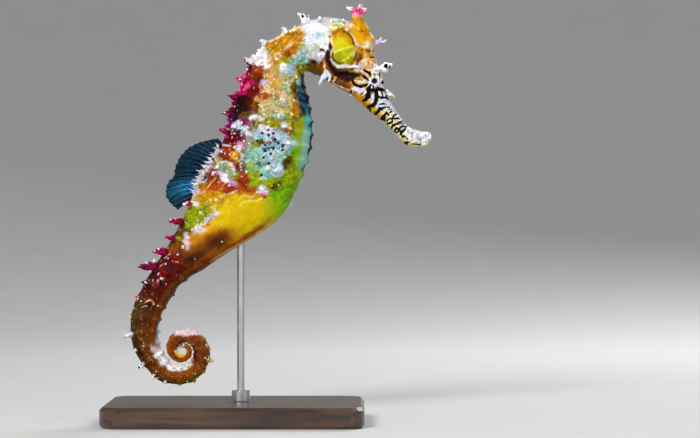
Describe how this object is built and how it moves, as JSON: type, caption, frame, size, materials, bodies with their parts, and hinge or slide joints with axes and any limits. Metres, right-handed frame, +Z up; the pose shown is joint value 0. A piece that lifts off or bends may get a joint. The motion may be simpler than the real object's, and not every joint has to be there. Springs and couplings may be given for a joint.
{
  "type": "seahorse model on a stand",
  "caption": "Life-size still model of a spiny zebra-snouted seahorse with a curled tail, held on one rod over a flat base.",
  "frame": {"origin": "middle of the stand's underside, on the surface that it stands on", "axes": "+Z up, +X the way the animal faces, +Y its left side; the animal's middle plane is XZ"},
  "size_m": [0.0778, 0.042, 0.1004],
  "materials": {
    "skin": "moist mottled skin over bony rings, golden yellow with white, red and brown patches",
    "coronet": "moist skin over bone, golden stalk and pink crown with white tips",
    "eye": "wet, glossy",
    "dorsal_fin": "thin, translucent, deep teal with paler rays",
    "clear_fin": "thin, translucent, nearly clear",
    "base_wood": "dark stained, satin",
    "rod_steel": "brushed"
  },
  "bodies": {
    "root": {"snout": "skin", "head": "skin", "gill_cover_left": "skin", "gill_cover_right": "skin", "neck": "skin", "trunk_upper": "skin", "trunk_middle": "skin", "trunk_lower": "skin", "brood_pouch": "skin", "tail_base": "skin", "tail_upper": "skin", "tail_middle": "skin", "tail_bend": "skin", "tail_coil": "skin", "tail_tip": "skin", "coronet": "coronet", "eye_left": "eye", "eye_right": "eye", "dorsal_fin": "dorsal_fin", "anal_fin": "clear_fin", "pectoral_fin_left": "clear_fin", "pectoral_fin_right": "clear_fin", "stand_base": "base_wood", "stand_ferrule": "rod_steel", "stand_rod": "rod_steel"}
  },
  "joints": []
}
